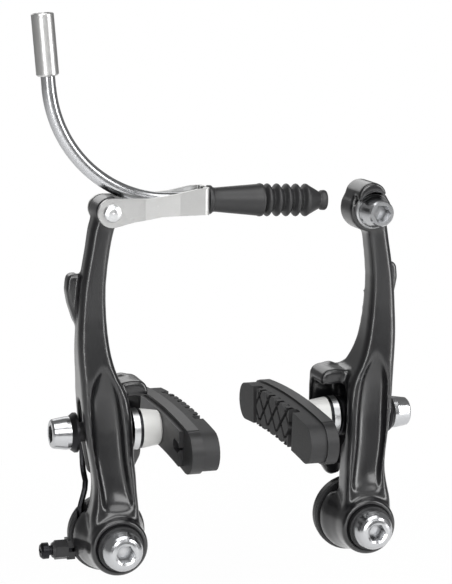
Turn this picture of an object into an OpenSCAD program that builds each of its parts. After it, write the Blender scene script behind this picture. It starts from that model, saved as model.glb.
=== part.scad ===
// Linear-pull bicycle brake for one wheel: two forged arms that swing on the bosses of a fork, with
// their pads, springs, the curved guide tube, the stirrup that holds it and the rubber boot.
// X runs across the wheel, Y from front to back, Z up. The origin lies midway between the two
// pivot axes, on the plane where the bushings meet the fork. Millimetres.

/* [Pivots] */
// Distance between the two pivot axes
boss_spacing = 80; // [74:1:90]
// Diameter of the fork's boss, which enters the bushing
boss_d = 8; // [7.6:0.1:8.4]
// Length of the bushing that the arm turns on
bushing_l = 20; // [19:0.5:22]
// Outer diameter of that bushing
bushing_d = 10; // [9.8:0.1:10.6]
// Thread diameter of the pivot bolt
pivot_bolt_d = 6; // [5:0.5:6]
// Length of the bolt's shank behind its washer
pivot_bolt_l = 15; // [10:1:17]
// Diameter of the domed bolt head
dome_d = 12.4; // [11.5:0.1:13]
// Height of the domed bolt head
dome_h = 5.6; // [4.6:0.2:6.4]
// Thickness of the seal washer under the head
seal_t = 1.5; // [1:0.1:2]
// Outer radius of the pivot barrel at its front
barrel_r = 8.9; // [8.6:0.1:9.6]
// Outer radius of the pivot barrel at its back
skirt_r = 11.2; // [10.6:0.1:11.6]

/* [Arms] */
// Height of the rivet above the pivots
arm_reach = 100; // [96:1:108]
// How far the tips stand outside the pivots
tip_out = 1; // [0:0.5:2]
// Extra width of the neck
neck_extra = 0; // [-0.8:0.1:1]
// Thickness of the tip between the stirrup's plates
tip_t = 10; // [9:0.2:10.6]
// Depth of the scoop in the front panel
scoop_depth = 3; // [1:0.2:3.6]
// Depth of the washer seat in the inner flank
seat_depth = 1.5; // [0.8:0.1:2]

/* [Pads] */
// Height of the pad studs above the pivots
pad_z = 32.5; // [30:0.5:34]
// Distance of the stud axis in front of the mounting plane
stud_front = 5; // [4.5:0.1:5.5]
// Diameter of the pad stud
stud_d = 6; // [5:0.5:6]
// Width of the slot that the stud slides in
slot_w = 7; // [6.6:0.1:7.4]
// Length of that slot
slot_l = 35; // [26:1:35]
// Length of the pad along the rim
pad_l = 69; // [50:1:72]
// Height of the pad
pad_h = 12; // [10:0.5:13]
// Thickness of the friction block
block_t = 5; // [4.5:0.5:7]
// Thickness of the holder that carries it
holder_t = 5; // [4.5:0.5:6]
// Radius of the rim that the pads follow
rim_r = 280; // [240:5:320]
// Thickness of the tapered spacer
spacer_t = 6; // [4:0.5:7]
// Diameter of the flat washers
washer_d = 12.7; // [11.5:0.1:13.4]
// Length of the stud nut
nut_l = 5.6; // [4.5:0.1:7]

/* [Cable guide] */
// Slope of the cable line down towards the clamp, in degrees
cable_slope = 1.8; // [0:0.2:3]
// Outer diameter of the guide tube
tube_d = 4.3; // [4:0.1:4.4]
// Bore of the guide tube
tube_bore = 2.6; // [2.2:0.1:2.8]
// Radius of the guide tube's bend
bend_r = 36.7; // [36:0.5:44]
// Angle of that bend in degrees
bend_angle = 83.2; // [75:1:95]
// Length of the ferrule at the tube's upper end
ferrule_l = 18; // [14:1:24]
// Outer diameter of the ferrule
ferrule_d = 6.6; // [6.4:0.1:7.4]
// Bore of the ferrule for the cable housing
housing_d = 5.2; // [5:0.1:5.4]
// Length of the stirrup from its rivet to its end plate
link_l = 29.2; // [28:0.2:31]
// Thickness of the stirrup's sheet
sheet_t = 1.2; // [1:0.1:1.4]
// Diameter of the rivet's shank
rivet_d = 4; // [3.5:0.1:4.4]
// Length of the boot from flange to tip
boot_l = 38; // [36:0.5:39]
// Diameter of the boot's bellows
bellows_d = 10; // [9:0.2:11]
// Number of bellows
bellows_n = 5; // [3:1:6]

/* [Cable clamp] */
// Radius of the clamp head on the right arm
clamp_r = 6.8; // [6.4:0.1:7.2]
// Diameter of the clamp bolt's shank
clamp_bolt_d = 6; // [5:0.5:6]
// Diameter of the clamp washer
clamp_washer_d = 11; // [10:0.2:11.4]

/* [Springs] */
// Diameter of the spring wire
wire_d = 1.8; // [1.4:0.1:2]
// Radius of the spring's coil
coil_r = 8; // [7.8:0.1:8.2]
// Diameter of the tension screw
screw_d = 3; // [2.6:0.1:3.2]

/* [Hidden] */
$fn = 48;

// Running clearance on a radius, between a piece that turns and its seat
run_gap = 0.05;
// Distance between pieces that pass each other
pass_gap = 0.3;
// Distance between faces that lie close together along an axis
face_gap = 0.2;

// Pivot stack along the axis, from the fork forwards
bushing_r = bushing_d / 2;
bushing_bore_r = boss_d / 2 + run_gap;
seal_r = dome_d / 2 + 0.7;
seat_floor = face_gap - bushing_l;
bolt_neck = 0.3;
barrel_front = seat_floor - 0.8;
dome_base = -bushing_l - seal_t;
rim_round = 1.1;
holder_back = -0.4;
holder_front = -4.4;
barrel_back = holder_front - face_gap;
hub_clear = 12.2;

// Hex sockets
hex5_r = 5 / 2 / cos(30);

// Spring
wire_r = wire_d / 2;
groove_gap = 0.25;
coil_y = holder_front + wire_r + 0.5;
wire_behind = wire_r + pass_gap;
spigot_r = 1.25;
spigot_l = 5.4;
spigot_at = 8.6;
catch_bottom = 0.655 * arm_reach;
catch_top = 0.81 * arm_reach;
catch_in = 9;
wire_side = catch_in - wire_r - run_gap;
wire_start = 8;
step_x = 2;

// Tension screw
screw_z = -4.5;
screw_y = -3;
screw_in = 11;
screw_out = 20.6;
collar_in = 12.5;
collar_out = 17;
screw_head_l = 2.4;

// Pads, measured outwards from the pivot axis
stud_y = -stud_front;
slot_top = pad_z + 10.5;
slot_bottom = slot_top - slot_l;
flank_in = -5.9;
pad_seat = flank_in + seat_depth;
cup_t = 2.5;
flat_t = 1.9;
thin_t = 1;
cup_face = pad_seat - cup_t;
flat_face = cup_face - flat_t;
thin_face = flat_face - thin_t;
spacer_face = thin_face - spacer_t;
holder_face = spacer_face - holder_t;
block_face = holder_face - block_t;
nut_seat = 9.9;
nut_cup_t = 2.2;
nut_face = nut_seat + nut_cup_t;
stud_r = stud_d / 2;
stud_hole_r = stud_r + run_gap;
pad_hub_y = -2;
cross_at = [3.1, -3.7];
end_ease = 0.15;

// Seat pocket of the pad washers
travel = 3;
pocket_r = washer_d / 2 + pass_gap;

// Tips
tip_y_front = -12.5;
tip_y_back = tip_y_front + tip_t;
mid_y = (tip_y_front + tip_y_back) / 2;
tip_r = 4.5;
rivet_r = rivet_d / 2;

// Stirrup, in its own frame: origin on the rivet's axis, x inwards, z up
plate_gap = tip_t / 2 + 0.4;
mouth_gap = 4;
waist_in = 10;
waist_out = 21;
line_z = 2.7;
nose_r = 1.95;
keyhole_r = nose_r + 0.3;
nose_l = 3.2;
cone_l = 2.4;
cone_r = 3;
bend_start = 18;
tube_r = tube_d / 2;
boot_flange_t = 2;

// Cable clamp
clamp_z = arm_reach - 1.7;
hood_z = 4.3;
hood_x = -1;
hood_r = 4.6;
hood_front = -16.2;
cable_r = 1;
groove_z = 3.4;
clamp_t = 1.6;
clamp_flange_r = 5;
clamp_ring_r = 3.8;
clamp_head_l = 6.8;

// Outline of the arm: [height, inner edge, outer edge, front, back inside, back outside]
arm_line = [
    [1, -8.2, 8.2, -18.6, -4.8, -4.8],
    [7, -7.2, 8.3, -18.3, -4.8, -4.8],
    [12.4, -6.8, 7.3, -17.7, -4.8, -4.8],
    [16, -6.5, 6.8, -17.2, -0.5, -3.4],
    [20, -6.4, 6.8, -16.7, 3.6, 0.6],
    [26, -5.9, 7.6, -16, 4.5, 1.9],
    [34, -5.7, 8.9, -15.1, 4.5, 2],
    [41, -5.1, 9.5, -14.5, 4.5, 2],
    [45.5, -4, 9.8, -14.1, 4, 1.6],
    [50, -1.7, 10.1, -13.8, 1.6, 0.2],
    [55, 0, 10.5, -13.3, -0.6, -1],
    [60, 1, 10.7, -12.9, -2, -2.2],
    [68, 1.8, 10.4, -12.5, -3, -3.1],
    [78, 2, 9.6, -12.4, -3.4, -3.5],
    [89, 0.7, 7.7, -12.4, -3.3, -3.4],
    [95, -0.6, 6.7, -12.4, -2.8, -2.8],
    [98.5, -1.8, 5.6, -12.4, -2.6, -2.6]
];
arm_heights = [
    1, 4, 7, 9, 10.2, 11.2, 12.4, 14, 16, 18, 20, 23, 26, 30, 34, 38, 41, 43.5, 45.5,
    48, 50, 52, 54, 57, 60, 64, 68, 73, 78, 84, 89, 92, 95, 98.5
];
// Scoop in the front panel: [height, inner lip, outer lip, depth as a share]
scoop_line = [
    [9.2, -4.6, 3.6, 0],
    [10.2, -5, 4.1, 0],
    [12.4, -5.4, 4.8, 0.55],
    [16, -4.7, 5.2, 0.9],
    [26, -3.3, 6.8, 1],
    [36, -2.6, 7.4, 1],
    [45.5, -1.2, 7.5, 0.85],
    [50, 0.6, 6.2, 0.5],
    [54, 2.7, 4.1, 0],
    [60, 3, 4, 0]
];

// Place in a table of rows [at, values...], and the smooth curve through one of its columns
function row_at(t, z, i = 0) = i < len(t) - 2 && z > t[i + 1][0] ? row_at(t, z, i + 1) : i;
function slope(t, i, c) =
    i == 0 || i == len(t) - 1 ? 0 : (t[i + 1][c] - t[i - 1][c]) / (t[i + 1][0] - t[i - 1][0]);
function curve(t, z, c) =
    let (
        i = row_at(t, z),
        h = t[i + 1][0] - t[i][0],
        s = min(1, max(0, (z - t[i][0]) / h))
    )
    t[i][c] * (1 + s * s * (2 * s - 3)) + t[i + 1][c] * s * s * (3 - 2 * s)
    + slope(t, i, c) * h * s * (1 - s) * (1 - s) - slope(t, i + 1, c) * h * s * s * (1 - s);

// Points on an arc about [x, y]
function arc(x, y, r, from, to, n) =
    [for (i = [0:n]) let (a = from + (to - from) * i / n) [x + r * cos(a), y + r * sin(a)]];

// Closed skin over rings of points, each ring with as many points as the last
module skin(rings) {
    n = len(rings[0]);
    m = len(rings);
    polyhedron(
        points = [for (ring = rings, p = ring) p],
        faces = concat(
            [[for (i = [0:n - 1]) i]],
            [for (j = [0:m - 2], i = [0:n - 1]) [j * n + i, (j + 1) * n + i, j * n + (i + 1) % n]],
            [for (j = [0:m - 2], i = [0:n - 1])
                [j * n + (i + 1) % n, (j + 1) * n + i, (j + 1) * n + (i + 1) % n]],
            [[for (i = [n - 1:-1:0]) (m - 1) * n + i]]
        )
    );
}

// Cylinder along Y, and one along X
module rod_y(r, from, to) {
    translate([0, to, 0]) rotate([90, 0, 0]) cylinder(r = r, h = to - from);
}
module rod_x(r, from, to) {
    translate([from, 0, 0]) rotate([0, 90, 0]) cylinder(r = r, h = to - from);
}

// Solid turned about the Y axis, from points [radius, y]
module turned_y(profile) {
    rotate([90, 0, 0]) rotate_extrude() polygon([for (p = profile) [p[0], -p[1]]]);
}

// Solid turned about the X axis, from points [radius, x]
module turned_x(profile) {
    rotate([0, 90, 0]) rotate_extrude() polygon(profile);
}

// Outline in the XZ plane, given as [x, z], extruded along Y
module plate_y(from, to) {
    translate([0, to, 0]) rotate([90, 0, 0]) linear_extrude(to - from) children();
}

// Sides of the brake: a piece is drawn with its pivot axis at x = 0 and outwards along +x
module right_side() {
    translate([boss_spacing / 2, 0, 0]) children();
}
module left_side() {
    mirror([1, 0, 0]) right_side() children();
}

// Bushing that slips over the fork's boss
module bushing() {
    color("silver") difference() {
        rod_y(bushing_r, -bushing_l, 0);
        rod_y(bushing_bore_r, -bushing_l - 1, 1);
    }
}

// Bolt with a domed head that holds the arm on the boss
module pivot_bolt() {
    head = concat(
        [[0, dome_base], [dome_d / 2, dome_base], [dome_d / 2, dome_base - 0.9]],
        [for (i = [0:6]) let (a = 15 * i)
            [hex5_r + 0.5 + (dome_d / 2 - hex5_r - 0.5) * cos(a), dome_base - 0.9 - (dome_h - 0.9) * sin(a)]],
        [[0, dome_base - dome_h]]
    );
    color("gainsboro") difference() {
        union() {
            turned_y(head);
            rod_y(pivot_bolt_d / 2 - bolt_neck, dome_base - 0.5, 0.5 - bushing_l);
            rod_y(pivot_bolt_d / 2, bolt_neck - bushing_l, pivot_bolt_l - bushing_l);
        }
        translate([0, dome_base - dome_h + 3.6, 0]) rotate([90, 0, 0]) cylinder(r = hex5_r, h = 4, $fn = 6);
        turned_y([[0, dome_base - dome_h - 0.1], [hex5_r + 0.6, dome_base - dome_h - 0.1],
            [0, dome_base - dome_h + hex5_r * 0.7]]);
    }
}

// Seal washer between the bushing and the bolt's head
module seal_washer() {
    color("dimgray") difference() {
        rod_y(seal_r, -bushing_l - seal_t, -bushing_l);
        rod_y(pivot_bolt_d / 2 + run_gap, -bushing_l - seal_t - 1, -bushing_l + 1);
    }
}

// Plastic holder behind the arm: two discs, a groove for the coil and a spigot for the fork
module spring_holder(with_screw) {
    notch_w = wire_d + 2 * groove_gap + 0.6;
    seam_y = (holder_front + holder_back) / 2;
    color("black") difference() {
        union() {
            turned_y([[0, holder_back], [11.3, holder_back], [11.7, holder_back - 0.4],
                [11.7, seam_y + 0.2], [11.3, seam_y], [11.3, seam_y - 0.1], [12, seam_y - 0.4],
                [12, holder_front + 0.5], [11.5, holder_front], [0, holder_front]]);
            translate([0, 0, spigot_at]) rod_y(spigot_r, holder_back - 1, holder_back + spigot_l);
            if (with_screw) screw_bracket();
        }
        rod_y(bushing_r + run_gap, holder_front - 1, holder_back + 1);
        difference() {
            rod_y(coil_r + wire_r + groove_gap, holder_front - 1, coil_y + wire_r + groove_gap);
            rod_y(coil_r - wire_r - groove_gap, holder_front - 2, holder_back);
        }
        translate([wire_start - notch_w / 2, holder_front - 1, 0])
            cube([notch_w, coil_y + wire_r + groove_gap - holder_front + 1, 14]);
        if (with_screw) translate([0, screw_y, screw_z]) rod_x(screw_d / 2 + run_gap, screw_in - 1, 30);
    }
}

// Block and collar of the holder that the tension screw runs in
module screw_bracket() {
    translate([screw_in - 1, holder_front, screw_z - 3])
        cube([collar_in - screw_in + 1, holder_back - holder_front, 6]);
    translate([collar_in - 0.2, screw_y, screw_z]) rotate([0, 90, 0])
        cylinder(r = 3.1, h = collar_out - collar_in + 0.2 - 0.8, $fn = 6);
    translate([0, screw_y, screw_z]) turned_x([[0, collar_out - 1], [2.7, collar_out - 1],
        [2.2, collar_out], [0, collar_out]]);
}

// Screw that sets the spring's tension
module tension_screw_shape() {
    color("dimgray") translate([0, screw_y, screw_z]) difference() {
        union() {
            rod_x(screw_d / 2, screw_in, screw_out - screw_head_l);
            turned_x([[0, screw_out - screw_head_l], [2.5, screw_out - screw_head_l],
                [2.5, screw_out - 0.7], [1.9, screw_out], [0, screw_out]]);
        }
        translate([screw_out - 1.2, -0.4, -1.7]) cube([2, 0.8, 3.4]);
        translate([screw_out - 1.2, -1.7, -0.4]) cube([2, 3.4, 0.8]);
    }
}

// Spring wire: a coil in the holder, then a leg up behind the arm to its catch
function back_of_arm(z) = max(holder_front, curve(arm_line, z, 5)) + wire_behind;
function leg_at(z) = [
    z < 16 ? wire_start - max(0, z - 9) * 0.28
        : z < 50 ? 6.04 : 6.04 + (wire_side - 6.04) * min(1, (z - 50) / 16),
    z < 11 ? coil_y : max(coil_y, back_of_arm(z + 1), back_of_arm(z - 1)),
    z
];
spring_path = concat(
    [for (a = [-295:15:0]) [coil_r * cos(a), coil_y, coil_r * sin(a)]],
    [for (z = [3, 6, 9, 11, 12.4, 14, 16, 18, 20, 23, 26, 32, 38, 42, 46, 50, 54, 58, 62, 66, 70, 75, 79]) leg_at(z)]
);
function unit(v) = v / norm(v);
module spring() {
    n = len(spring_path);
    rings = [for (i = [0:n - 1])
        let (
            t = unit(spring_path[min(n - 1, i + 1)] - spring_path[max(0, i - 1)]),
            u = unit(cross(t, [0, 1, 0])),
            v = cross(t, u)
        )
        [for (k = [0:7]) spring_path[i] + wire_r * (cos(45 * k) * u + sin(45 * k) * v)]];
    color("silver") skin(rings);
}

// Section of the arm at a height, in the plane across it
function arm_section(z) =
    let (
        w = z > 55 && z < 90 ? neck_extra / 2 * sin((z - 55) / 35 * 180) : 0,
        xi = curve(arm_line, z, 1) - w,
        xo = curve(arm_line, z, 2) + w,
        yf = curve(arm_line, z, 3),
        yi = curve(arm_line, z, 4),
        yo = curve(arm_line, z, 5),
        draft = 0.05 * (yo - yf),
        rf = 2.2,
        rb = 1.6,
        si = curve(scoop_line, z, 1),
        so = curve(scoop_line, z, 2),
        sd = scoop_depth * max(0, curve(scoop_line, z, 3)),
        sw = min(1.2, (so - si) / 4),
        xs = min(step_x, (xi + xo) / 2)
    )
    concat(
        arc(xi + rf, yf + rf, rf, 180, 262, 3),
        [[si, yf]],
        [for (k = [0:5]) let (f = k / 5)
            [si + sw + (so - si - 2 * sw) * f, yf + sd * (0.82 + 0.18 * sin(180 * f))]],
        [[so, yf]],
        arc(xo - rf, yf + rf, rf, 278, 360, 3),
        arc(xo - draft - rb, yo - rb, rb, 10, 90, 2),
        [[xs + 0.6, yo], [xs - 0.6, yi]],
        arc(xi + draft + rb, yi - rb, rb, 90, 170, 2)
    );

// Forged body from the pivot to below the tip
module arm_body() {
    skin([for (h = arm_heights) let (z = h > 60 ? 60 + (h - 60) * (arm_reach - 60) / 40 : h)
        [for (p = arm_section(h)) [p[0] + (h > 60 ? (tip_out - 1) * (h - 60) / 40 : 0), p[1], z]]]);
}

// Barrel round the pivot, wide at the back
module barrel() {
    turned_y(concat(
        [[0, barrel_back], [skirt_r - 0.5, barrel_back], [skirt_r, barrel_back - 0.5],
            [skirt_r - 0.2, barrel_back - 3], [skirt_r - 1.2, barrel_back - 6],
            [barrel_r + 0.15, barrel_back - 10]],
        [for (a = [0:22.5:90]) [barrel_r - rim_round * (1 - cos(a)), barrel_front + rim_round * (1 - sin(a))]],
        [[0, barrel_front]]
    ));
}

// Lug at the back of the arm, beside the pad slot
module back_lug() {
    plate_y(0.8, 4.6) polygon(concat(
        [[-2, 10], [-6.2, 12], [-9.4, 17]],
        arc(-10.2, 23, 2, 215, 180, 2),
        arc(-10.2, slot_top - 1, 2, 180, 110, 3),
        arc(-6, slot_top + 2, 3.4, 120, 70, 2),
        [[-1.5, slot_top + 3], [1, slot_top - 4]]
    ));
}

// Bump at the back that the spring's leg pushes against
module spring_catch() {
    plate_y(-6.4, -1.2) polygon([
        [catch_in, catch_bottom + 1], [10.2, catch_bottom], [12.3, catch_bottom + 6.5],
        [13, catch_top - 5], [12.6, catch_top - 1.2], [11.6, catch_top], [catch_in, catch_top]
    ]);
}

// Slot for the stud, with the seat for its washers
module stud_slot() {
    for (z = [slot_bottom + slot_w / 2, slot_top - slot_w / 2])
        translate([0, stud_y, z]) rod_x(slot_w / 2, -20, 20);
    translate([-20, stud_y - slot_w / 2, slot_bottom + slot_w / 2])
        cube([40, slot_w, slot_l - slot_w]);
    for (z = [pad_z - travel, pad_z + travel])
        translate([0, stud_y, z]) rod_x(pocket_r, -20, pad_seat);
    translate([-20, stud_y - pocket_r, pad_z - travel]) cube([20 + pad_seat, 2 * pocket_r, 2 * travel]);
    for (z = [pad_z - travel, pad_z + travel])
        translate([0, stud_y, z]) rod_x(washer_d / 2 + pass_gap, nut_seat, 20);
    translate([nut_seat, stud_y - pocket_r, pad_z - travel]) cube([20, 2 * pocket_r, 2 * travel]);
}

// Cuts that both arms have
module arm_cuts() {
    rod_y(bushing_r + run_gap, -40, 10);
    turned_y([[0, -40], [seal_r + 0.35, -40], [seal_r + 0.35, seat_floor], [0, seat_floor]]);
    stud_slot();
    difference() {
        rod_y(hub_clear, barrel_back, 10);
        rod_y(2, barrel_back - 1, 11);
    }
}

module left_arm_shape() {
    color("#16181b") difference() {
        resize([0, 0, 0]) union() {
            arm_body();
            barrel();
            back_lug();
            spring_catch();
            translate([tip_out, 0, arm_reach]) rod_y(tip_r, tip_y_front, tip_y_back);
        }
        arm_cuts();
        translate([tip_out, 0, arm_reach]) rod_y(rivet_r + run_gap, -40, 10);
    }
}

module right_arm_shape() {
    color("#16181b") difference() {
        resize([0, 0, 0]) union() {
            arm_body();
            barrel();
            back_lug();
            spring_catch();
            clamp_head();
        }
        arm_cuts();
        translate([tip_out, 0, clamp_z]) {
            rod_y(clamp_bolt_d / 2 + run_gap, -40, 10);
            translate([0, tip_y_front, groove_z]) rod_x(cable_r + 0.15, -20, 20);
        }
    }
}

// Head of the right arm: a round block with a hood over the clamp washer
module clamp_head() {
    translate([tip_out, 0, clamp_z]) {
        rod_y(clamp_r, tip_y_front, tip_y_back);
        difference() {
            translate([hood_x, 0, hood_z]) rod_y(hood_r, hood_front, tip_y_back - 1);
            rod_y(clamp_washer_d / 2 + pass_gap, hood_front - 1, tip_y_front);
        }
    }
}

// Rivet that the stirrup turns on
module rivet() {
    y0 = mid_y - plate_gap - sheet_t;
    y1 = mid_y + plate_gap + sheet_t;
    head_r = 2.7;
    color("silver") translate([tip_out, 0, arm_reach]) turned_y([
        [0, y0 - 1.35], [head_r * 0.5, y0 - 1.2], [head_r * 0.86, y0 - 0.8], [head_r, y0 - face_gap / 2],
        [rivet_r, y0 - face_gap / 2], [rivet_r, y1 + face_gap / 2], [head_r, y1 + face_gap / 2],
        [head_r * 0.86, y1 + 0.8], [head_r * 0.5, y1 + 1.1], [0, y1 + 1.2]
    ]);
}

// Stirrup: one strip folded to a U, cut to its side outline, with a keyhole in its end
module stirrup_strip() {
    far = link_l + sheet_t;
    fold = 1.6;
    side = [for (p = [[-6, plate_gap], [waist_in, plate_gap], [waist_out, mouth_gap]]) p];
    outer = concat(
        [for (p = side) [p[0], p[1] + sheet_t]],
        arc(far - fold, mouth_gap + sheet_t - fold, fold, 90, 0, 4)
    );
    inner = concat(side, arc(link_l - fold + sheet_t, mouth_gap - fold + sheet_t, fold - sheet_t, 90, 0, 2));
    polygon(concat(
        outer, [for (i = [len(outer) - 1:-1:0]) [outer[i][0], -outer[i][1]]],
        [for (p = inner) [p[0], -p[1]]], [for (i = [len(inner) - 1:-1:0]) inner[i]]
    ));
}
module stirrup_shape() {
    eye_r = 4.3;
    color("gainsboro") difference() {
        intersection() {
            translate([0, 0, -6]) linear_extrude(16) stirrup_strip();
            plate_y(-12, 12) union() {
                circle(r = eye_r);
                polygon(concat([[0.9, -eye_r], [6.5, -2.9], [15.2, -1.7], [26, -1.6], [link_l + sheet_t, -1.6]],
                    [[link_l + sheet_t, 6.4], [26.3, 6.2], [20, 4.9], [11.7, 3.9], [0, eye_r]]));
            }
        }
        rod_y(rivet_r + run_gap, -12, 12);
        translate([0, 0, axis_z(link_l)]) rod_x(keyhole_r, link_l - 1, link_l + 4);
        translate([link_l - 1, -1, axis_z(link_l)]) cube([4, 2, 10]);
    }
}

// Height of the cable line in the stirrup's frame
function axis_z(x) = line_z - (x - 20) * tan(cable_slope);

// Guide tube: nose, cone, straight part, bend and upper end, along its own line
module on_cable_line() {
    translate([link_l, 0, axis_z(link_l)]) rotate([0, cable_slope, 0]) children();
}
module above_bend() {
    translate([bend_start - link_l, 0, bend_r]) rotate([0, bend_angle, 0]) translate([0, 0, -bend_r]) children();
}
upper_l = 3.4;
module tube_body() {
    straight = link_l - bend_start;
    turned_x([[0, nose_l], [nose_r - 0.3, nose_l], [nose_r, nose_l - 0.4], [nose_r, 0], [cone_r, -0.15],
        [cone_r, -1.2], [tube_r, -1.2 - cone_l], [tube_r, -straight], [0, -straight]]);
    translate([-straight, 0, bend_r]) rotate([90, 0, 0])
        rotate_extrude(angle = bend_angle, start = 270 - bend_angle) translate([bend_r, 0]) circle(r = tube_r);
    above_bend() rod_x(tube_r - 0.05, -upper_l - 2.4, 0.6);
}
module tube_hole() {
    straight = link_l - bend_start;
    rod_x(tube_bore / 2, -straight, nose_l + 1);
    translate([-straight, 0, bend_r]) rotate([90, 0, 0])
        rotate_extrude(angle = bend_angle, start = 270 - bend_angle) translate([bend_r, 0]) circle(r = tube_bore / 2);
    above_bend() rod_x(tube_bore / 2 + 0.05, -upper_l - 4, 0.6);
}
module guide_tube_shape() {
    color("silver") on_cable_line() difference() {
        tube_body();
        tube_hole();
    }
}

// Ferrule that holds the cable's housing on the tube
module ferrule() {
    r = ferrule_d / 2;
    end = -upper_l - ferrule_l;
    color("silver") on_cable_line() above_bend() difference() {
        turned_x([[0, -upper_l], [r - 0.5, -upper_l], [r, -upper_l - 0.5], [r, end + 0.3], [r - 0.3, end], [0, end]]);
        rod_x(tube_r, -upper_l - 2.4, 1);
        turned_x([[0, end - 1], [housing_d / 2, end - 1], [housing_d / 2, -upper_l - 2.9],
            [housing_d / 2 - 0.25, -upper_l - 2.6], [0, -upper_l - 2.6]]);
        rod_x(tube_bore / 2, end, 0);
    }
}

// Liner inside the guide tube's nose
module liner() {
    wall = 0.35;
    color("white") on_cable_line() difference() {
        rod_x(tube_bore / 2 - 0.05, -8, nose_l + 4);
        rod_x(tube_bore / 2 - wall, -9, nose_l + 5);
    }
}

// Rubber boot with bellows
module boot() {
    bore = nose_r + run_gap;
    start = sheet_t + 0.25;
    end = boot_l + start;
    sleeve_end = start + 18.4;
    pitch = (boot_l - 18.4 - 7) / bellows_n;
    br = bellows_d / 2;
    valley = br - 1.5;
    wall = 1.1;
    fold = concat([for (i = [0:bellows_n - 1], q = [[valley, 0.05], [br - 0.35, 0.36], [br, 0.5],
        [br - 0.35, 0.64], [valley, 0.95]]) [q[0], sleeve_end + (i + q[1]) * pitch]]);
    out = concat(
        [[0, start], [4.35, start], [4.35, start + boot_flange_t], [3.7, start + boot_flange_t + 0.4],
            [4.2, start + 8], [4.9, sleeve_end - 1.5], [br, sleeve_end - 1], [br, sleeve_end - 0.5]],
        fold,
        [[valley, sleeve_end + bellows_n * pitch], [br - 1.2, end - 6.4], [2.7, end - 2.6], [2.6, end - 2.2],
            [3, end - 1.8], [3, end - 0.3], [2.6, end], [0, end]]
    );
    inside = concat(
        [[0, start - 1], [bore, start - 1], [bore, start + 4], [2.9, start + 6], [3.3, sleeve_end - 1]],
        [for (i = [0:bellows_n - 1], q = [[valley - wall, 0.05], [br - wall, 0.5], [valley - wall, 0.95]])
            [q[0], sleeve_end + (i + q[1]) * pitch]],
        [[1.2, end - 3.4], [1.2, end + 1], [0, end + 1]]
    );
    color("#2b2b2d") on_cable_line() difference() {
        turned_x(out);
        turned_x(inside);
    }
}

// Bolt and washer that clamp the cable on the right arm
module clamp_bolt_shape() {
    base = tip_y_front - clamp_t;
    front = base - clamp_head_l;
    color("gainsboro") translate([tip_out, 0, clamp_z]) difference() {
        union() {
            rod_y(clamp_bolt_d / 2, base, tip_y_back - 0.6);
            turned_y([[0, base], [clamp_flange_r, base], [clamp_flange_r, base - 1], [clamp_flange_r - 0.3, base - 1.4],
                [clamp_ring_r + 0.2, front + 0.6], [clamp_ring_r - 0.2, front], [0, front]]);
        }
        translate([0, front + 4, 0]) rotate([90, 0, 0]) cylinder(r = hex5_r, h = 5, $fn = 6);
    }
}
module clamp_washer_shape() {
    color("silver") translate([tip_out, 0, clamp_z]) difference() {
        turned_y([[0, tip_y_front - clamp_t], [clamp_washer_d / 2 - 0.4, tip_y_front - clamp_t],
            [clamp_washer_d / 2, tip_y_front - clamp_t + 0.4], [clamp_washer_d / 2, tip_y_front], [0, tip_y_front]]);
        rod_y(clamp_bolt_d / 2 + run_gap, -40, 0);
    }
}

// Pad: a band that follows the rim, as a slice of a ring about the wheel's axle
module rim_slice(from, to, height, length) {
    half = length / rim_r / 2 * 180 / PI;
    translate([from, pad_hub_y, pad_z - rim_r]) rotate([0, 90, 0])
        rotate_extrude(angle = 2 * half, start = 180 - half, $fn = 720)
        translate([rim_r - height / 2, 0]) square([height, to - from]);
}
module round_ends(from, to, height, length) {
    half = length / rim_r / 2 * 180 / PI;
    for (s = [1, -1]) translate([from, pad_hub_y, pad_z - rim_r]) rotate([s * half, 0, 0])
        translate([0, 0, rim_r]) rod_x(height / 2 - end_ease, 0, to - from);
}
module pad_band(from, to, height, length) {
    rim_slice(from, to, height, length - height);
    round_ends(from, to, height, length - height);
}
module pad_block() {
    color("#1d1d1e") difference() {
        pad_band(block_face, holder_face, pad_h, pad_l);
        for (a = cross_at) rotate_on_rim(a) translate([block_face - 1, -1.6, -pad_h]) cube([3.6, 3.2, 2 * pad_h]);
        for (k = [-1:1], s = [1, -1]) rotate_on_rim(1.9 * k - 0.3)
            rotate([s * 45, 0, 0]) translate([block_face - 1 - 0.1 * s, -0.55, -pad_h]) cube([2.9, 1.1, 2 * pad_h]);
    }
}
module rotate_on_rim(a) {
    translate([0, pad_hub_y, pad_z - rim_r]) rotate([a, 0, 0]) translate([0, 0, rim_r]) children();
}
module pad_holder() {
    lip = 0.7;
    stud_end = nut_face + nut_l - 3.2;
    color("#242425") difference() {
        union() {
            pad_band(holder_face, holder_face + holder_t - 1.4, pad_h + 2 * lip, pad_l + 2 * lip);
            rim_slice(holder_face + holder_t - 1.6, spacer_face, pad_h - 1, pad_l - 18);
            translate([0, stud_y, pad_z]) rod_x(stud_r, holder_face + 1, stud_end);
        }
        for (a = [-4.6, 4.6]) rotate_on_rim(a) translate([spacer_face - 2.2, 0, 0]) rotate([90, 0, 90])
            linear_extrude(4) polygon(concat(arc(1.4, 0, 1.7, -90, 90, 8), arc(-1.4, 0, 1.7, 90, 270, 8)));
        translate([stud_end - 2.5, stud_y, pad_z]) rotate([0, 90, 0]) cylinder(r = 1.5, h = 4, $fn = 6);
    }
}

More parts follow.
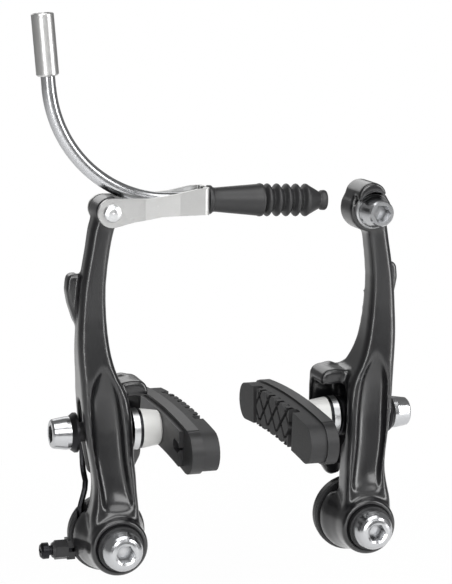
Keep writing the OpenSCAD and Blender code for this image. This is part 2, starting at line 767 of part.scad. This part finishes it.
// Hardware on the stud, from the pad outwards
module on_stud() {
    translate([0, stud_y, pad_z]) children();
}
module spacer() {
    color("whitesmoke") on_stud() difference() {
        turned_x([[0, spacer_face], [5, spacer_face], [5.3, spacer_face + 0.4], [6.1, thin_face - 0.6],
            [6.1, thin_face], [0, thin_face]]);
        rod_x(stud_hole_r, -40, 20);
    }
}
module washer_ring(r, from, to) {
    on_stud() difference() {
        rod_x(r, from, to);
        rod_x(stud_hole_r, from - 1, to + 1);
    }
}
module thin_washer() {
    color("#222222") washer_ring(washer_d / 2 - 0.2, thin_face, flat_face);
}
module flat_washer() {
    color("silver") washer_ring(washer_d / 2, flat_face, cup_face);
}
module inner_cup() {
    color("#202020") on_stud() difference() {
        turned_x([[0, cup_face], [5.2, cup_face], [washer_d / 2, cup_face + 1], [washer_d / 2, pad_seat], [0, pad_seat]]);
        rod_x(stud_hole_r, -40, 20);
    }
}
module outer_cup() {
    color("#303032") on_stud() difference() {
        turned_x([[0, nut_seat], [washer_d / 2 - 0.3, nut_seat], [washer_d / 2 - 0.3, nut_seat + 0.8],
            [5, nut_face], [0, nut_face]]);
        rod_x(stud_hole_r, -40, 40);
    }
}
module stud_nut() {
    end = nut_face + nut_l;
    color("silver") on_stud() difference() {
        turned_x([[0, nut_face], [5, nut_face], [5, nut_face + 1.2], [4.4, end - 0.5], [3.9, end], [0, end]]);
        rod_x(stud_hole_r, nut_face - 1, end - 2);
        translate([end - 3, 0, 0]) rotate([0, 90, 0]) cylinder(r = hex5_r, h = 5, $fn = 6);
    }
}

// Frame of the stirrup on the left arm's rivet
module on_link() {
    translate([-boss_spacing / 2 - tip_out, mid_y, arm_reach]) children();
}

left_side() bushing();  // left_bushing
right_side() bushing();  // right_bushing
left_side() pivot_bolt();  // left_pivot_bolt
right_side() pivot_bolt();  // right_pivot_bolt
left_side() seal_washer();  // left_seal_washer
right_side() seal_washer();  // right_seal_washer
left_side() spring_holder(true);  // left_spring_holder
right_side() spring_holder(false);  // right_spring_holder
left_side() spring();  // left_spring
right_side() spring();  // right_spring
left_side() tension_screw_shape();  // tension_screw
left_side() left_arm_shape();  // left_arm
right_side() right_arm_shape();  // right_arm
left_side() rivet();  // link_rivet
on_link() stirrup_shape();  // stirrup
on_link() guide_tube_shape();  // guide_tube
on_link() ferrule();  // guide_ferrule
on_link() liner();  // guide_liner
on_link() boot();  // cable_boot
right_side() clamp_bolt_shape();  // clamp_bolt
right_side() clamp_washer_shape();  // clamp_washer
left_side() pad_block();  // left_pad_block
right_side() pad_block();  // right_pad_block
left_side() pad_holder();  // left_pad_holder
right_side() pad_holder();  // right_pad_holder
left_side() spacer();  // left_spacer
right_side() spacer();  // right_spacer
left_side() thin_washer();  // left_thin_washer
right_side() thin_washer();  // right_thin_washer
left_side() flat_washer();  // left_flat_washer
right_side() flat_washer();  // right_flat_washer
left_side() inner_cup();  // left_inner_cup
right_side() inner_cup();  // right_inner_cup
left_side() outer_cup();  // left_outer_cup
right_side() outer_cup();  // right_outer_cup
left_side() stud_nut();  // left_stud_nut
right_side() stud_nut();  // right_stud_nut
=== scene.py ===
"""A linear-pull bicycle brake: two black forged arms with their pads, a curved cable guide in its
stirrup, and a rubber boot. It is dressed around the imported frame, in metres, on a pale floor."""
import math

import bmesh
import bpy
from mathutils import Matrix, Vector


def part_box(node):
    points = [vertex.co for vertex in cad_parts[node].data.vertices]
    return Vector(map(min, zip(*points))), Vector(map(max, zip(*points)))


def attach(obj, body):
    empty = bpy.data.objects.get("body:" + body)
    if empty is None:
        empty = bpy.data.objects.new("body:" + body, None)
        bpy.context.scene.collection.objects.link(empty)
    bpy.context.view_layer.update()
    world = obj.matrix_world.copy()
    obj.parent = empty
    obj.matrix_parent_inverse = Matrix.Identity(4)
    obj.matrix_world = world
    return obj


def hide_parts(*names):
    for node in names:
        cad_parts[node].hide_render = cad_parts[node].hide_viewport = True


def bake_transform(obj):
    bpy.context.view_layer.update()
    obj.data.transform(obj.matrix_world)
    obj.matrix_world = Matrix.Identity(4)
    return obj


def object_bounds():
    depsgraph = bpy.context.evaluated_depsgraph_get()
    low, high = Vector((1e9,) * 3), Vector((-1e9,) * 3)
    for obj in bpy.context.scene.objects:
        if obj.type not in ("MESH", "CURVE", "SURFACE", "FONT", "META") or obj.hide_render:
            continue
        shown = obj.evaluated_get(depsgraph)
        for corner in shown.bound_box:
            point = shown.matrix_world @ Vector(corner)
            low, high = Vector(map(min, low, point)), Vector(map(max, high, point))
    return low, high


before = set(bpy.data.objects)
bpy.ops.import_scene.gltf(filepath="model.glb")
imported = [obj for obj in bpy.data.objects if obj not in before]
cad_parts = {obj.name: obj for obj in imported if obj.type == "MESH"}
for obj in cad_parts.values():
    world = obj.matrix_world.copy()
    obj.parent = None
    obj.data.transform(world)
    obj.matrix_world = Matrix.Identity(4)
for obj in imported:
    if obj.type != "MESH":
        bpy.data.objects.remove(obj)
cad_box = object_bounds()
MM = 0.001

# The photographer stood a little to the left of the brake and above it, with a long lens.
# The photograph is 452 by 584 pixels, and its long side is the camera's sensor width.
PHOTO_H = 584
SENSOR_MM = 36.0
VIEW_AZIMUTH, VIEW_ELEVATION, VIEW_ROLL = -17.96, 10.85, 0.8
VIEW_DISTANCE = 600.78 * MM
FOCAL_PX = 1943.2
AIM = Vector((0.0, 0.0, 55.0)) * MM
STEP_RIGHT, STEP_UP = -0.71 * MM, 11.94 * MM
CENTRE_PX = (1.76, 16.9)

azimuth, elevation, roll = (math.radians(a) for a in (VIEW_AZIMUTH, VIEW_ELEVATION, VIEW_ROLL))
back = Vector((
    math.sin(azimuth) * math.cos(elevation),
    -math.cos(azimuth) * math.cos(elevation),
    math.sin(elevation),
))
right = Vector((0, 0, 1)).cross(back).normalized()
up = back.cross(right)
turned = Matrix((
    right * math.cos(roll) + up * math.sin(roll),
    up * math.cos(roll) - right * math.sin(roll),
    back,
)).transposed().to_4x4()
cam_data = bpy.data.cameras.new("photo_camera")
cam = bpy.data.objects.new("photo_camera", cam_data)
bpy.context.scene.collection.objects.link(cam)
cam.matrix_world = Matrix.Translation(
    AIM + back * VIEW_DISTANCE + right * STEP_RIGHT + up * STEP_UP) @ turned
cam_data.sensor_width = SENSOR_MM
cam_data.lens = FOCAL_PX / PHOTO_H * SENSOR_MM
cam_data.shift_x = -CENTRE_PX[0] / PHOTO_H
cam_data.shift_y = CENTRE_PX[1] / PHOTO_H
cam_data.clip_start, cam_data.clip_end = 0.02, 20
bpy.context.scene.camera = cam
bpy.context.scene.view_settings.view_transform = "Standard"


def linear(hex_colour):
    """An sRGB hex colour as the linear values that a shader takes, with its alpha."""
    channels = [int(hex_colour[i:i + 2], 16) / 255 for i in (1, 3, 5)]
    return [c / 12.92 if c <= 0.04045 else ((c + 0.055) / 1.055) ** 2.4 for c in channels] + [1.0]


def add(material, kind, inputs=None, **settings):
    """One node of a material or world. Each input is a value or another node's output."""
    made = material.node_tree.nodes.new(kind)
    for name, value in settings.items():
        setattr(made, name, value)
    for name, value in (inputs or {}).items():
        if isinstance(value, bpy.types.NodeSocket):
            material.node_tree.links.new(value, made.inputs[name])
        else:
            made.inputs[name].default_value = value
    return made


def new_material(name):
    """An empty material and its output node."""
    material = bpy.data.materials.new(name)
    material.use_nodes = True
    material.node_tree.nodes.clear()
    return material, add(material, "ShaderNodeOutputMaterial")


def object_mm(material):
    """Object coordinates in millimetres, which a pattern's scale is worked out from."""
    place = add(material, "ShaderNodeTexCoord")
    return add(material, "ShaderNodeVectorMath", {0: place.outputs["Object"], 1: (1000, 1000, 1000)},
               operation="MULTIPLY").outputs[0]


def finish_surface(material, output, shader):
    """The material, with this shader as its surface."""
    material.node_tree.links.new(shader.outputs[0], output.inputs["Surface"])
    return material


# The studio is a sheet of matt paper below the brake, a white surround and five soft boxes.
# The camera sees the paper and the surround as white, but the paper still takes the brake's shadow.
FLOOR_Z = cad_box[0].z - 55 * MM
FLOOR_HALF = 3.0
WHITE_NEAR_MM, WHITE_FAR_MM = 60.0, 320.0
WHITE_SHARE = 0.86
SURROUND_LIGHT = 0.22


def studio_floor():
    """Paper of roughness 0.9: no sheen at all, and only a soft grey where the brake shades it."""
    material, output = new_material("seamless_paper_matt")
    grain = add(material, "ShaderNodeTexNoise",
                {"Vector": object_mm(material), "Scale": 0.4, "Detail": 4.0})
    tone = add(material, "ShaderNodeMixRGB",
               {0: grain.outputs["Fac"], 1: linear("#f4f4f4"), 2: linear("#f8f8f8")})
    paper = add(material, "ShaderNodeBsdfPrincipled", {"Base Color": tone.outputs[0], "Roughness": 0.9})
    white = add(material, "ShaderNodeEmission", {"Color": linear("#ffffff"), "Strength": 1.0})
    path = add(material, "ShaderNodeLightPath")
    span = add(material, "ShaderNodeVectorMath", {0: object_mm(material)}, operation="LENGTH")
    fade = add(material, "ShaderNodeMapRange", {
        "Value": span.outputs["Value"], "From Min": WHITE_NEAR_MM, "From Max": WHITE_FAR_MM,
        "To Min": WHITE_SHARE, "To Max": 1.0,
    })
    share = add(material, "ShaderNodeMath", {0: path.outputs["Is Camera Ray"], 1: fade.outputs[0]},
                operation="MULTIPLY")
    mixed = add(material, "ShaderNodeMixShader",
                {0: share.outputs[0], 1: paper.outputs[0], 2: white.outputs[0]})
    return finish_surface(material, output, mixed)


def object_from(bm, name):
    """A new object in the scene, with the mesh that was built."""
    mesh = bpy.data.meshes.new(name)
    bm.to_mesh(mesh)
    bm.free()
    made = bpy.data.objects.new(name, mesh)
    bpy.context.scene.collection.objects.link(made)
    return made


sheet = bmesh.new()
bmesh.ops.create_grid(sheet, x_segments=2, y_segments=2, size=FLOOR_HALF)
floor = object_from(sheet, "studio_floor")
floor.location = (0, 0, FLOOR_Z)
floor.data.materials.append(studio_floor())

world = bpy.data.worlds.new("studio_surround")
bpy.context.scene.world = world
world.use_nodes = True
world.node_tree.nodes.clear()
surround, backdrop = (
    add(world, "ShaderNodeBackground", {"Color": linear("#ffffff"), "Strength": strength})
    for strength in (SURROUND_LIGHT, 1.0))
ray = add(world, "ShaderNodeLightPath")
choose = add(world, "ShaderNodeMixShader",
             {0: ray.outputs["Is Camera Ray"], 1: surround.outputs[0], 2: backdrop.outputs[0]})
add(world, "ShaderNodeOutputWorld", {"Surface": choose.outputs[0]})

# Soft boxes: where each stands, its width, height and power in watts. They all look at the brake.
LOOK_AT = Vector((0, 0, 0.05))
SOFT_BOXES = {
    "soft_box_left": ((-0.45, -0.70, 0.30), 0.14, 0.80, 3.0),
    "soft_box_right": ((0.62, -0.50, 0.24), 0.20, 0.80, 4.0),
    "soft_box_top": ((-0.05, -0.25, 0.80), 0.8, 0.5, 4.5),
    "soft_box_front": ((-0.05, -0.95, 0.55), 0.7, 0.4, 5.0),
    "soft_box_back": ((0.0, 0.75, 0.45), 0.7, 0.4, 1.2),
}
for name, (place, width, height, watts) in SOFT_BOXES.items():
    lamp = bpy.data.lights.new(name, "AREA")
    lamp.shape, lamp.size, lamp.size_y, lamp.energy = "RECTANGLE", width, height, watts
    holder = bpy.data.objects.new(name, lamp)
    holder.location = place
    holder.rotation_mode = "QUATERNION"
    holder.rotation_quaternion = (LOOK_AT - Vector(place)).to_track_quat("-Z", "Y")
    bpy.context.scene.collection.objects.link(holder)

# The arms: forged aluminium under black gloss paint. Each turns on the bushing of its pivot, and
# its slot holds the pad's stud. The hood over the slot is in this scene only: the CAD arm has a flat
# lug behind it. Its outline is distance from the wheel's plane and height, in millimetres.
PEEL_MM = 0.9
HOOD_Y = (-7.5, 4.5)
HOOD = [(27.9, 43.0), (27.9, 45.2), (28.8, 46.9), (30.4, 47.8), (33.0, 47.9), (36.0, 47.4),
        (38.2, 47.7), (40.2, 48.8), (42.2, 50.8), (44.0, 53.2), (46.0, 53.2), (46.0, 43.0)]
# Each round of the forging: the voxel of its skin, in millimetres, and the passes that round it.
SKINS = ((0.36, 28), (0.34, 10))


def soft_shading(piece, sharp_deg=35):
    """Smooth shading over the shallow edges of a piece, and crisp steeper ones."""
    piece.data.set_sharp_from_angle(angle=math.radians(sharp_deg))
    piece.data.polygons.foreach_set("use_smooth", [True] * len(piece.data.polygons))


def dress(node, material):
    """Gives a CAD node its material and its shading."""
    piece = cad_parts[node]
    piece.data.materials.clear()
    piece.data.materials.append(material)
    soft_shading(piece)


def baked(piece):
    """The piece with its modifiers made part of its mesh."""
    bpy.context.view_layer.update()
    mesh = bpy.data.meshes.new_from_object(piece.evaluated_get(bpy.context.evaluated_depsgraph_get()))
    piece.modifiers.clear()
    piece.data = mesh
    return piece


def black_paint():
    """Paint of IOR 1.5: a soft wide sheen from its base at roughness 0.3, a narrow bright edge from
    its clear coat at 0.14, and the faint orange peel of a sprayed skin."""
    material, output = new_material("forged_aluminium_black_gloss_paint")
    place = object_mm(material)
    peel = add(material, "ShaderNodeTexNoise", {"Vector": place, "Scale": 1 / PEEL_MM, "Detail": 2.0})
    bump = add(material, "ShaderNodeBump",
               {"Height": peel.outputs["Fac"], "Strength": 0.05, "Distance": 0.02 * MM})
    cloud = add(material, "ShaderNodeTexNoise", {"Vector": place, "Scale": 0.08, "Detail": 3.0})
    rough = add(material, "ShaderNodeMapRange",
                {"Value": cloud.outputs["Fac"], "To Min": 0.26, "To Max": 0.34})
    paint = add(material, "ShaderNodeBsdfPrincipled", {
        "Base Color": linear("#0c0c0e"), "Roughness": rough.outputs[0], "IOR": 1.5,
        "Coat Weight": 0.5, "Coat Roughness": 0.14, "Normal": bump.outputs[0],
    })
    return finish_surface(material, output, paint)


def prism(outline, low, high, name, along=0):
    """A solid with one outline along one axis, in millimetres; the outline is in the other two axes."""
    bm = bmesh.new()
    shift = [(high - low) * MM if axis == along else 0 for axis in range(3)]
    corners = [[a * MM, b * MM] for a, b in outline]
    for corner in corners:
        corner.insert(along, low * MM)
    base = bm.faces.new([bm.verts.new(corner) for corner in corners])
    top = bmesh.ops.extrude_face_region(bm, geom=[base])["geom"]
    bmesh.ops.translate(bm, verts=[v for v in top if isinstance(v, bmesh.types.BMVert)], vec=shift)
    bmesh.ops.recalc_face_normals(bm, faces=bm.faces)
    return object_from(bm, name)


def forging(side, sign, paint):
    """One arm as it leaves the die: the CAD arm with its hood, and every edge rounded."""
    hood = prism([(sign * x, z) for x, z in HOOD], *HOOD_Y, f"{side}_hood", along=1)
    bm = bmesh.new()
    bm.from_mesh(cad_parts[f"{side}_arm"].data)
    bm.from_mesh(hood.data)
    bpy.data.objects.remove(hood)
    arm = object_from(bm, f"{side}_arm_forging")
    for voxel_mm, passes in SKINS:
        skin = arm.modifiers.new("forged_skin", "REMESH")
        skin.mode, skin.voxel_size, skin.use_smooth_shade = "VOXEL", voxel_mm * MM, True
        corners = arm.modifiers.new("forged_corners", "SMOOTH")
        corners.factor, corners.iterations = 0.5, passes
    baked(arm)
    arm.data.materials.clear()
    arm.data.materials.append(paint)
    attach(arm, f"{side}_arm_body")
    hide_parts(f"{side}_arm")


arm_paint = black_paint()
for side, sign in (("left", -1), ("right", 1)):
    dress(f"{side}_arm", arm_paint)
    forging(side, sign, arm_paint)

# The steel parts: bolts, nuts, washers, springs, stirrup, guide tube and ferrule. Metal within this
# distance of other walls has painted shade: its colour is darkened, standing in for the dark sockets and
# gaps of the photo.
PAINTED_SHADE_REACH_MM = 3.0


def polished_steel(name, colour, roughness, streak_mm, streak_axis):
    """Bare metal, so metallic 1, with fine polishing streaks along one axis that draw out its lights."""
    material, output = new_material(name)
    stretch = [1.0 / streak_mm] * 3
    stretch[streak_axis] = 0.06 / streak_mm
    place = add(material, "ShaderNodeVectorMath", {0: object_mm(material), 1: stretch},
                operation="MULTIPLY")
    streaks = add(material, "ShaderNodeTexNoise",
                  {"Vector": place.outputs[0], "Scale": 1.0, "Detail": 3.0})
    rough = add(material, "ShaderNodeMapRange",
                {"Value": streaks.outputs["Fac"], "To Min": roughness * 0.7, "To Max": roughness * 1.5})
    bump = add(material, "ShaderNodeBump",
               {"Height": streaks.outputs["Fac"], "Strength": 0.02, "Distance": 0.01 * MM})
    # Painted shade: the base colour darkens to a tenth where other walls are near, in sockets and gaps.
    depth = add(material, "ShaderNodeAmbientOcclusion", {"Distance": PAINTED_SHADE_REACH_MM * MM})
    shade = add(material, "ShaderNodeMapRange", {
        "Value": depth.outputs["AO"], "From Min": 0.25, "From Max": 0.75, "To Min": 0.1, "To Max": 1.0,
    })
    tone = add(material, "ShaderNodeVectorMath", {0: linear(colour)[:3], 1: shade.outputs[0]},
               operation="MULTIPLY")
    steel = add(material, "ShaderNodeBsdfPrincipled", {
        "Base Color": tone.outputs[0], "Metallic": 1.0, "Roughness": rough.outputs[0],
        "Normal": bump.outputs[0],
    })
    return finish_surface(material, output, steel)


# Chrome mirrors the soft boxes as crisp stripes. The stirrup's brushed sheet spreads them, zinc is
# as bright and duller, and black oxide only glints.
chrome = polished_steel("chromed_steel_polished", "#b9babc", 0.2, 1.2, 1)
brushed = polished_steel("stainless_sheet_brushed", "#c9c9c8", 0.3, 0.12, 0)
zinc = polished_steel("steel_zinc_plated", "#c9cacb", 0.3, 0.3, 2)
# Black oxide for the screws, thin washers and cups; on the springs the same dark steel is painted shade.
dark_steel = polished_steel("steel_black_oxide_and_spring_shade", "#2c2c2e", 0.34, 0.3, 2)


# The moulded parts: holders, washers, spacers, liner, pads and boot, in nylon, acetal and rubber.
def moulded(name, colour, roughness, grain_mm, strength):
    """Plastic or rubber with the fine grain of its mould."""
    material, output = new_material(name)
    grain = add(material, "ShaderNodeTexNoise",
                {"Vector": object_mm(material), "Scale": 1 / grain_mm, "Detail": 4.0})
    bump = add(material, "ShaderNodeBump",
               {"Height": grain.outputs["Fac"], "Strength": strength, "Distance": 0.05 * MM})
    rough = add(material, "ShaderNodeMapRange",
                {"Value": grain.outputs["Fac"], "To Min": roughness * 0.85, "To Max": roughness * 1.15})
    plastic = add(material, "ShaderNodeBsdfPrincipled", {
        "Base Color": linear(colour), "Roughness": rough.outputs[0], "Normal": bump.outputs[0],
    })
    return finish_surface(material, output, plastic)


# Nylon has a satin sheen, acetal a pale waxy one. The pads' rubber is dry and matt, the boot's silky.
nylon = moulded("nylon_black_moulded", "#1b1b1c", 0.42, 0.4, 0.2)
acetal = moulded("acetal_white_moulded", "#bdbdbb", 0.34, 0.5, 0.1)
pad_rubber = moulded("brake_rubber_black", "#1d1d1e", 0.6, 0.35, 0.5)
boot_rubber = moulded("soft_rubber_black", "#1c1c1d", 0.46, 0.5, 0.3)

# The friction blocks: rubber moulded onto the holders, in a band that follows the rim. Two wide
# cross grooves let the water out, and narrow crossed ones between them leave diamonds. All in
# millimetres, along the band from its middle.
RIM_R, PAD_HALF, PAD_R = 280.0, 28.5, 6.0
PAD_HUB_Y, PAD_Z = -2.0, 32.5
EDGE_STEPS, END_STEPS = 40, 12
CROSS_AT, CROSS_HALF, CROSS_REACH, CROSS_DEPTH = (-15.2, 18.3), 1.6, 9, 2.6
DIAMOND_PITCH, DIAMOND_HALF, DIAMOND_REACH, DIAMOND_DEPTH = 8.2, 0.65, 8, 1.9
MOULD_RADIUS = 0.35
FRICTION_LOW, FRICTION_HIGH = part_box("right_pad_block")


def on_band(along, out):
    """A point of the band: along it from its middle, and out from its centre line."""
    turn = along / RIM_R
    return (PAD_HUB_Y + (RIM_R + out) * math.sin(turn), PAD_Z - RIM_R + (RIM_R + out) * math.cos(turn))


def band_outline():
    """The block seen from the rim: two long edges and two round ends."""
    edge = [-PAD_HALF + 2 * PAD_HALF * i / EDGE_STEPS for i in range(EDGE_STEPS + 1)]
    turns = [math.pi * i / END_STEPS for i in range(1, END_STEPS)]
    front_end, back_end = (
        [on_band(end * (PAD_HALF + PAD_R * math.sin(a)), end * PAD_R * math.cos(a)) for a in turns]
        for end in (1, -1))
    return ([on_band(at, PAD_R) for at in edge] + front_end
            + [on_band(-at, -PAD_R) for at in edge] + back_end)


def diamond_grooves():
    """Crossed diagonal strips, each cut off where it meets a cross groove."""
    low, high = CROSS_AT[0] + 1.0, CROSS_AT[1] - 1.0
    strips = []
    for lean in (1, -1):
        for k in range(-1, 6):
            middle = CROSS_AT[0] + 0.5 + DIAMOND_PITCH * k
            (x0, y0), (x1, y1) = sorted(
                (middle + s * lean * DIAMOND_REACH, s * DIAMOND_REACH) for s in (-1, 1))
            if x1 < low or x0 > high:
                continue
            cut0, cut1 = max(x0, low), min(x1, high)
            slope = (y1 - y0) / (x1 - x0)
            y0, y1 = y0 + slope * (cut0 - x0), y0 + slope * (cut1 - x0)
            n = Vector((y0 - y1, cut1 - cut0)).normalized() * DIAMOND_HALF
            strips.append([on_band(cut0 - n.x, y0 - n.y), on_band(cut1 - n.x, y1 - n.y),
                           on_band(cut1 + n.x, y1 + n.y), on_band(cut0 + n.x, y0 + n.y)])
    return strips


def tread(side, sign):
    """One friction block with its grooves, on the holder's face."""
    face, back_face = FRICTION_LOW.x / MM, FRICTION_HIGH.x / MM
    block = prism(band_outline(), *sorted((sign * face, sign * back_face)), f"{side}_friction_block")
    corners = ((-1, -1), (1, -1), (1, 1), (-1, 1))
    grooves = [([on_band(at + s * CROSS_HALF, t * CROSS_REACH) for s, t in corners], CROSS_DEPTH)
               for at in CROSS_AT]
    grooves += [(strip, DIAMOND_DEPTH) for strip in diamond_grooves()]
    for outline, depth in grooves:
        cutter = prism(outline, *sorted((sign * (face - 1), sign * (face + depth))), "groove_cutter")
        cut = block.modifiers.new("groove", "BOOLEAN")
        cut.operation, cut.object, cut.solver = "DIFFERENCE", cutter, "EXACT"
        baked(block)
        bpy.data.objects.remove(cutter)
    rounded = block.modifiers.new("moulded_edges", "BEVEL")
    rounded.width, rounded.segments, rounded.limit_method = MOULD_RADIUS * MM, 2, "ANGLE"
    rounded.angle_limit = math.radians(40)
    block.data.materials.clear()
    block.data.materials.append(pad_rubber)
    soft_shading(block)
    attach(block, f"{side}_pad_body")
    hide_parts(f"{side}_pad_block")


tread("left", -1)
tread("right", 1)

# The boot: soft rubber, with a tapered sleeve, five bellows and a cone. It is pushed onto the nose
# of the guide tube, against the stirrup. Lengths are millimetres.
BOOT_L, SLEEVE_L, BELLOWS, BELLOWS_R, VALLEY_R = 38.0, 17.6, 5, 5.0, 3.5
FOLD_PITCH, FOLD_STEPS = 3.05, 12
BOOT_SLOPE = math.radians(1.8)
LINK_END = Vector((-11.8, -7.5, 102.411)) * MM
SHEET = 1.45


def lathe(name, profile, origin, axis, around=72):
    """A revolved piece: profile points are (along the axis, radius) in millimetres."""
    side_way = axis.cross((0, 1, 0)).normalized()
    other = axis.cross(side_way)
    turns = [2 * math.pi * i / around for i in range(around)]
    bm = bmesh.new()
    rings = []
    for along, radius in profile:
        rings.append([
            bm.verts.new(origin + axis * along * MM
                         + radius * MM * (side_way * math.cos(a) + other * math.sin(a)))
            for a in turns])
    for low, high in zip(rings, rings[1:]):
        for i in range(around):
            bm.faces.new((low[i], low[(i + 1) % around], high[(i + 1) % around], high[i]))
    bmesh.ops.recalc_face_normals(bm, faces=bm.faces)
    made = object_from(bm, name)
    soft_shading(made, 50)
    return made


def boot():
    """The boot, from its collar at the stirrup to the lip that the cable leaves through."""
    axis = Vector((math.cos(BOOT_SLOPE), 0, -math.sin(BOOT_SLOPE)))
    profile = [(0.0, 2.9), (0.0, 4.1), (0.25, 4.35), (1.1, 4.35), (1.4, 4.1), (1.6, 3.75), (2.4, 3.65)]
    profile += [(2.4 + (SLEEVE_L - 4.2) * t, 3.65 + 1.15 * t) for t in (i / 8 for i in range(1, 9))]
    profile += [(SLEEVE_L - 1.2, 5.0), (SLEEVE_L - 0.8, 5.05), (SLEEVE_L - 0.3, 4.9)]
    for i in range(BELLOWS * FOLD_STEPS - 5):
        swell = (1 - math.cos(2 * math.pi * i / FOLD_STEPS)) / 2
        profile.append((SLEEVE_L + FOLD_PITCH * i / FOLD_STEPS,
                        VALLEY_R + (BELLOWS_R - VALLEY_R) * swell ** 0.8))
    crest = profile[-1][0]
    profile += [(crest + 0.3, 4.95), (crest + 0.8, 4.6)]
    profile += [(BOOT_L - before, radius) for before, radius in (
        (2.6, 2.8), (2.2, 2.55), (1.9, 2.6), (1.6, 3.0), (0.5, 3.1), (0.1, 2.9), (0.0, 2.5),
        (0.0, 1.3), (1.0, 1.2), (4.0, 1.2))]
    piece = lathe("cable_boot_bellows", profile, LINK_END + axis * SHEET * MM, axis)
    piece.data.materials.append(boot_rubber)
    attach(piece, "guide_body")
    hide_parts("cable_boot")


boot()

# Everything else is shown as its own CAD solid, in the finish that the photo shows, or the usual one
# where it is hidden; the springs' dark steel is painted shade. The nodes that a piece of this scene
# replaces get theirs too.
FINISH = {
    "bushing": zinc, "pivot_bolt": chrome, "seal_washer": nylon, "spring_holder": nylon,
    # The springs are dark as painted shade, for the shadow they sit in behind the arms.
    "spring": dark_steel, "tension_screw": dark_steel, "link_rivet": zinc, "stirrup": brushed,
    "guide_tube": chrome, "guide_ferrule": brushed, "guide_liner": acetal, "cable_boot": boot_rubber,
    "clamp_bolt": chrome, "clamp_washer": zinc, "pad_block": pad_rubber, "pad_holder": nylon,
    "spacer": acetal, "thin_washer": dark_steel, "flat_washer": zinc, "inner_cup": dark_steel,
    "outer_cup": dark_steel, "stud_nut": chrome,
}
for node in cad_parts:
    kind = node.removeprefix("left_").removeprefix("right_")
    if kind in FINISH:
        dress(node, FINISH[kind])

for side in ("left", "right"):
    wire = bpy.data.objects.new(f"{side}_return_spring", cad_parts[f"{side}_spring"].data.copy())
    bpy.context.scene.collection.objects.link(wire)
    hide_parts(f"{side}_spring")
    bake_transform(wire)
